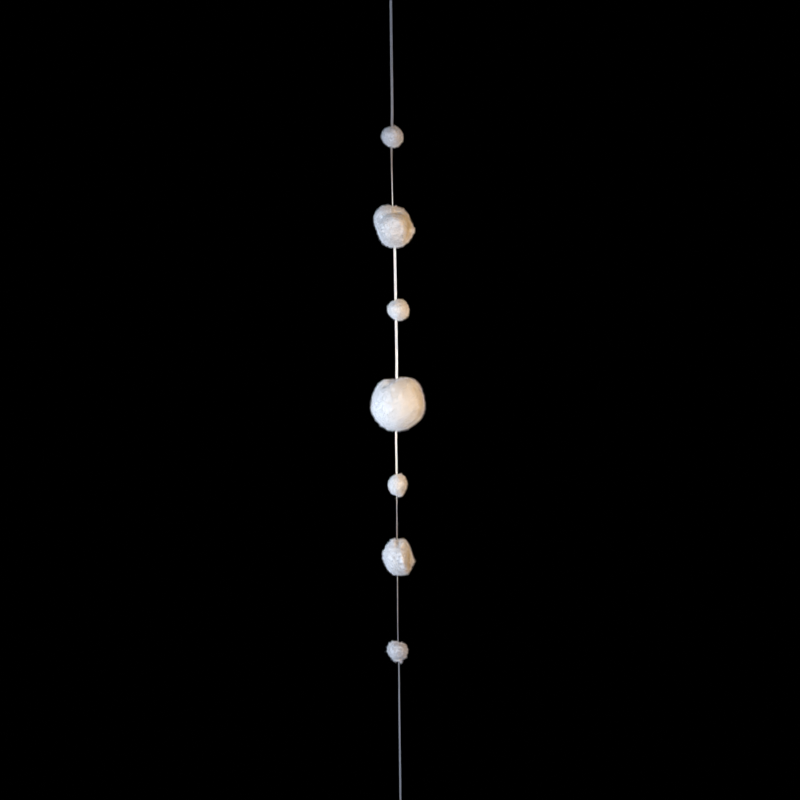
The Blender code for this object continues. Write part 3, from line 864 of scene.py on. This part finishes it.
def makePileTree():
    tree = bpy.data.node_groups.new("pompomPile", "GeometryNodeTree")
    tree.interface.new_socket("Geometry", in_out="INPUT", socket_type="NodeSocketGeometry")
    for name, kind in pileInputs.items():
        tree.interface.new_socket(name, in_out="INPUT", socket_type=kind)
    tree.interface.new_socket("Geometry", in_out="OUTPUT", socket_type="NodeSocketGeometry")
    given = addNode(tree, "NodeGroupInput").outputs
    position = addNode(tree, "GeometryNodeInputPosition").outputs[0]
    normal = addNode(tree, "GeometryNodeInputNormal").outputs[0]

    def withInputs(kind, operation, values, sockets=(0, 1)):
        # a node whose inputs are numbers, tuples or other nodes' outputs
        settings, links = {"operation": operation}, {}
        for key, value in zip(sockets, values):
            if isinstance(value, bpy.types.NodeSocket):
                links[key] = value
            elif value is not None:
                settings[key] = value
        return addNode(tree, kind, settings, links).outputs

    def number(operation, first, second):
        return withInputs("ShaderNodeMath", operation, (first, second))[0]

    def vector(operation, first, second=None, scale=None):
        return withInputs("ShaderNodeVectorMath", operation, (first, second, scale), (0, 1, "Scale"))

    # the ground swells and sinks softly, away from the slot
    nap = addNode(tree, "GeometryNodeInputNamedAttribute", {"data_type": "FLOAT", "Name": "nap"}).outputs[0]
    swells = addNode(
        tree, "ShaderNodeTexNoise", {"Detail": 3.0, "Roughness": 0.6},
        {"Vector": position, "Scale": number("DIVIDE", 1.0, given["Relief Patch"])},
    )
    swell = number("MULTIPLY", number("SUBTRACT", swells.outputs[0], 0.5), given["Relief"])
    swell = number("MULTIPLY", swell, nap)
    grounded = addNode(
        tree, "GeometryNodeSetPosition", {},
        {"Geometry": given["Geometry"], "Offset": vector("SCALE", normal, scale=swell)[0]},
    ).outputs[0]

    # fibres stand on it, evenly apart, and none by the slot
    spots = addNode(
        tree, "GeometryNodeDistributePointsOnFaces",
        {"distribute_method": "POISSON", "Density Max": growth["densest"] / mm**2},
        {"Mesh": grounded, "Distance Min": given["Spacing"], "Density Factor": nap, "Seed": given["Seed"]},
    ).outputs
    up = spots["Normal"]
    cells = addNode(
        tree, "ShaderNodeTexVoronoi", {"feature": "F1", "Randomness": 1.0},
        {"Vector": position, "Scale": number("DIVIDE", 1.0, given["Tuft"])},
    ).outputs
    inward = vector("SUBTRACT", cells["Position"], position)[0]
    rise = vector("SCALE", up, scale=vector("DOT_PRODUCT", inward, up)[1])[0]
    level = vector("SUBTRACT", inward, rise)[0]
    gathered = vector("SCALE", level, scale=number("DIVIDE", given["Gather"], given["Length"]))[0]
    ownWay = vector("SUBTRACT", cells["Color"], (0.5, 0.5, 0.5))[0]
    leaning = vector("SCALE", ownWay, scale=given["Lean"])[0]
    loose = addNode(
        tree, "FunctionNodeRandomValue",
        {"data_type": "FLOAT_VECTOR", "Min": (-1.0, -1.0, -1.0), "Max": (1.0, 1.0, 1.0)},
        {"Seed": given["Seed"]},
    ).outputs[0]
    loose = vector("SCALE", loose, scale=given["Loose"])[0]
    way = vector("ADD", vector("ADD", up, gathered)[0], vector("ADD", leaning, loose)[0])[0]
    stood = addNode(tree, "FunctionNodeAlignRotationToVector", {"axis": "Z"}, {"Vector": way}).outputs[0]
    spin = addNode(
        tree, "FunctionNodeRandomValue",
        {"data_type": "FLOAT", "Min": 0.0, "Max": fullTurn, "Seed": growth["spinSeed"]},
    ).outputs[1]
    spun = addNode(tree, "FunctionNodeAxisAngleToRotation", {"Axis": (0.0, 0.0, 1.0)}, {"Angle": spin})
    turned = addNode(
        tree, "FunctionNodeRotateRotation", {"rotation_space": "LOCAL"},
        {"Rotation": stood, "Rotate By": spun.outputs[0]},
    ).outputs[0]

    # a tuft is longest at its middle, tufts differ, and no two fibres are quite alike
    off = number("DIVIDE", vector("LENGTH", level)[1], given["Tuft"])
    tuftShare = number("MULTIPLY", number("SUBTRACT", growth["plainAt"], off), given["Crown"])
    tuftShare = number("ADD", 1.0, tuftShare)
    cellShare = number("SUBTRACT", vector("LENGTH", cells["Color"])[1], growth["plainTuft"])
    cellShare = number("ADD", 1.0, number("MULTIPLY", cellShare, given["Uneven"]))
    chance = addNode(
        tree, "FunctionNodeRandomValue",
        {"data_type": "FLOAT", "Min": 0.0, "Max": 1.0, "Seed": growth["chanceSeed"]},
    ).outputs[1]
    strayShare = number("MULTIPLY", number("POWER", chance, growth["rare"]), given["Stray"])
    ownShare = number("ADD", growth["shortest"], number("MULTIPLY", chance, growth["chance"]))
    ownShare = number("ADD", ownShare, strayShare)
    size = number("MULTIPLY", given["Length"], number("MULTIPLY", tuftShare, ownShare))
    size = number("MULTIPLY", size, cellShare)
    thick = number("MULTIPLY", size, given["Girth"])
    sizes = addNode(tree, "ShaderNodeCombineXYZ", {}, {0: thick, 1: thick, 2: size}).outputs[0]
    kinds = addNode(
        tree, "GeometryNodeCollectionInfo", {"Separate Children": True, "Reset Children": True},
        {"Collection": given["Fibres"]},
    ).outputs[0]
    standing = addNode(
        tree, "GeometryNodeInstanceOnPoints", {"Pick Instance": True},
        {"Points": spots["Points"], "Instance": kinds, "Rotation": turned, "Scale": sizes},
    ).outputs[0]
    joined = addNode(tree, "GeometryNodeJoinGeometry")
    tree.links.new(standing, joined.inputs[0])
    tree.links.new(grounded, joined.inputs[0])
    real = addNode(tree, "GeometryNodeRealizeInstances", links={"Geometry": joined.outputs[0]}).outputs[0]
    coloured = addNode(
        tree, "GeometryNodeSetMaterial", links={"Geometry": real, "Material": given["Pile"]},
    ).outputs[0]
    addNode(tree, "NodeGroupOutput", links={"Geometry": coloured})
    return tree


def plainMesh(thing):
    # what the object's modifiers make of it, as a mesh of its own
    graph = bpy.context.evaluated_depsgraph_get()
    mesh = bpy.data.meshes.new_from_object(thing.evaluated_get(graph), depsgraph=graph)
    thing.modifiers.clear()
    return mesh


def offAxis(points):
    across = routeAt(-points[:, 2])[0]
    return np.hypot(points[:, 0] - across, points[:, 1])


def napAt(points):
    # share of the full pile: none by the slot
    return smoothStep(*[edge * mm for edge in ground["bare"]], offAxis(points))


def pointsOf(mesh):
    flat = np.empty(len(mesh.vertices) * 3)
    mesh.vertices.foreach_get("co", flat)
    return flat.reshape(-1, 3)


def groundMesh(node, middle, kind):
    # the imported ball, calmed and drawn in by the pile's depth, with its slot left open
    bm = bmesh.new()
    bm.from_mesh(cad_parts[node].data)
    bmesh.ops.remove_doubles(bm, verts=bm.verts[:], dist=ground["merge"] * mm)
    bm.verts.ensure_lookup_table()
    inSlot = offAxis(np.array([vertex.co for vertex in bm.verts])) < ground["slotReach"] * mm
    outer = [vertex for vertex in bm.verts if not inSlot[vertex.index]]
    for _ in range(ground["smoothings"]):
        bmesh.ops.smooth_vert(
            bm, verts=outer, factor=ground["smoothing"], use_axis_x=True, use_axis_y=True, use_axis_z=True,
        )
    mesh = bpy.data.meshes.new(f"{node}_ground")
    bm.to_mesh(mesh)
    bm.free()
    low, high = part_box(node)
    halfHeight = (high.z - low.z) / 2
    points = pointsOf(mesh)
    arms = points - middle
    lengths = np.linalg.norm(arms, axis=1, keepdims=True)
    drawnIn = kind["depth"] * mm
    pulled = middle + arms * (1 - drawnIn / lengths)
    lowered = points.copy()
    lowered[:, 2] = middle[2] + arms[:, 2] * (1 - drawnIn / halfHeight)
    mesh.vertices.foreach_set("co", np.where(inSlot[:, None], lowered, pulled).ravel())
    return mesh


def makePompom(node, kind, material, tree, fibres):
    across, depth = kind["balls"][node]
    middle = np.array((across, 0.0, -depth)) * mm
    piece = addObject(f"pile_{node}", groundMesh(node, middle, kind))
    finer = piece.modifiers.new("finer", "SUBSURF")
    finer.levels = finer.render_levels = kind["finer"]
    piece.data = plainMesh(piece)
    points = pointsOf(piece.data)
    formed = sculpt(points, middle, forms.get(node, []), napAt(points))
    piece.data.vertices.foreach_set("co", formed.ravel())
    nap = piece.data.attributes.new("nap", "FLOAT", "POINT")
    nap.data.foreach_set("value", napAt(formed))
    piece.data.shade_smooth()
    standing = piece.modifiers.new("pile", "NODES")
    standing.node_group = tree
    values = {
        **{name: kind[name.lower()] * mm for name in lengthInputs},
        **{name: kind[name.lower()] for name in shareInputs},
        "Relief Patch": ground["reliefPatch"] * mm, "Seed": int(node[-1]),
        "Fibres": fibres, "Pile": material,
    }
    for item in tree.interface.items_tree:
        if item.in_out == "INPUT" and item.name in values:
            standing[item.identifier] = values[item.name]
    piece.data = plainMesh(piece)
    finishPiece(piece, node)
    return piece


pileTree = makePileTree()
fibres = makeFibres()
for kindName, kind in pompoms.items():
    material = cutPile(kindName, kind)
    for node in kind["balls"]:
        made = makePompom(node, kind, material, pileTree, fibres)
        made.data.calc_loop_triangles()
        print(kindName, node, "has", len(made.data.loop_triangles), "triangles")


# Soft studio light: a pale lamp and a small spot from the front left, a cool spot from the left, a warm one
# from the right and a wide disc behind. The last spot lights the cord, its loop and its knot alone.
lights = {                     # places and aims in m; a spot reaches so far round the place that it aims at
    "coolFront": {
        "place": (-0.51, -1.41, -0.41), "size": 0.4, "watts": 19.3, "colour": "D5E3FF",
    },
    "warmFront": {
        "place": (-0.51, -1.41, -0.41), "size": 0.2, "watts": 32.0, "colour": "FFF6CC",
        "reach": 0.25, "blend": 1.0,
    },
    "coolSide": {
        "place": (-1.18, -0.21, -0.60), "size": 0.2, "watts": 57.0, "colour": "D0E3FF",
        "reach": 0.34, "blend": 1.0, "aim": -0.44,
    },
    "warmSide": {
        "place": (0.98, -0.69, -0.16), "size": 0.2, "watts": 53.0, "colour": "FFCA7D",
        "reach": 0.34, "blend": 1.0, "aim": -0.39,
    },
    "back": {
        "place": (0.2, 1.2, -0.3), "size": 1.0, "watts": 16.0, "colour": "F6F4FF",
    },
    "cord": {
        "place": (0.6, -1.1, -0.40), "size": 0.05, "watts": 178.0, "colour": "FFFFFF",
        "reach": 0.149, "blend": 0.3, "aim": -0.352, "cordOnly": True,
    },
}
middleHeight = -0.405          # m, what a lamp aims at where it names no height of its own
stage = {                      # a floor well below the garland
    "depth": 1.05,             # m
    "radius": 1.2,
    "corners": 96,
    "colour": "DAD8D4",
    "roughness": 0.9,
}


def addLight(name, look):
    towards = Vector((0.0, 0.0, look.get("aim", middleHeight))) - Vector(look["place"])
    if "reach" in look:
        data = bpy.data.lights.new(name, "SPOT")
        data.spot_size = 2 * math.atan(look["reach"] / towards.length)
        data.spot_blend = look["blend"]
        data.shadow_soft_size = look["size"] / 2
    else:
        data = bpy.data.lights.new(name, "AREA")
        data.shape = "DISK"
        data.size = look["size"]
    data.energy = look["watts"]
    data.color = linear(look["colour"])
    light = bpy.data.objects.new(name, data)
    light.location = look["place"]
    light.rotation_euler = towards.to_track_quat("-Z", "Y").to_euler()
    light.visible_camera = False
    if look.get("cordOnly"):
        lit = bpy.data.collections.new(f"{name}_lit")
        for piece in (cordPiece, loopPiece, endPiece):
            lit.objects.link(piece)
        light.light_linking.receiver_collection = lit
    bpy.context.collection.objects.link(light)


def addStage():
    bm = bmesh.new()
    bmesh.ops.create_circle(bm, cap_ends=True, segments=stage["corners"], radius=stage["radius"])
    bmesh.ops.translate(bm, vec=(0.0, 0.0, -stage["depth"]), verts=bm.verts[:])
    mesh = bpy.data.meshes.new("floor")
    bm.to_mesh(mesh)
    bm.free()
    made, _, shader = newMaterial("paintedFloor")          # matt paint, so that no lamp shows in it
    shader.inputs["Base Color"].default_value = (*linear(stage["colour"]), 1.0)
    shader.inputs["Roughness"].default_value = stage["roughness"]
    addObject("floor", mesh, made)


def darkenWorld():
    world = bpy.data.worlds.new("darkRoom")
    world.use_nodes = True
    world.node_tree.nodes["Background"].inputs["Strength"].default_value = 0.0
    bpy.context.scene.world = world


for name, look in lights.items():
    addLight(name, look)
addStage()
darkenWorld()
bpy.context.scene.view_settings.view_transform = "Standard"
print("lights and floor placed")
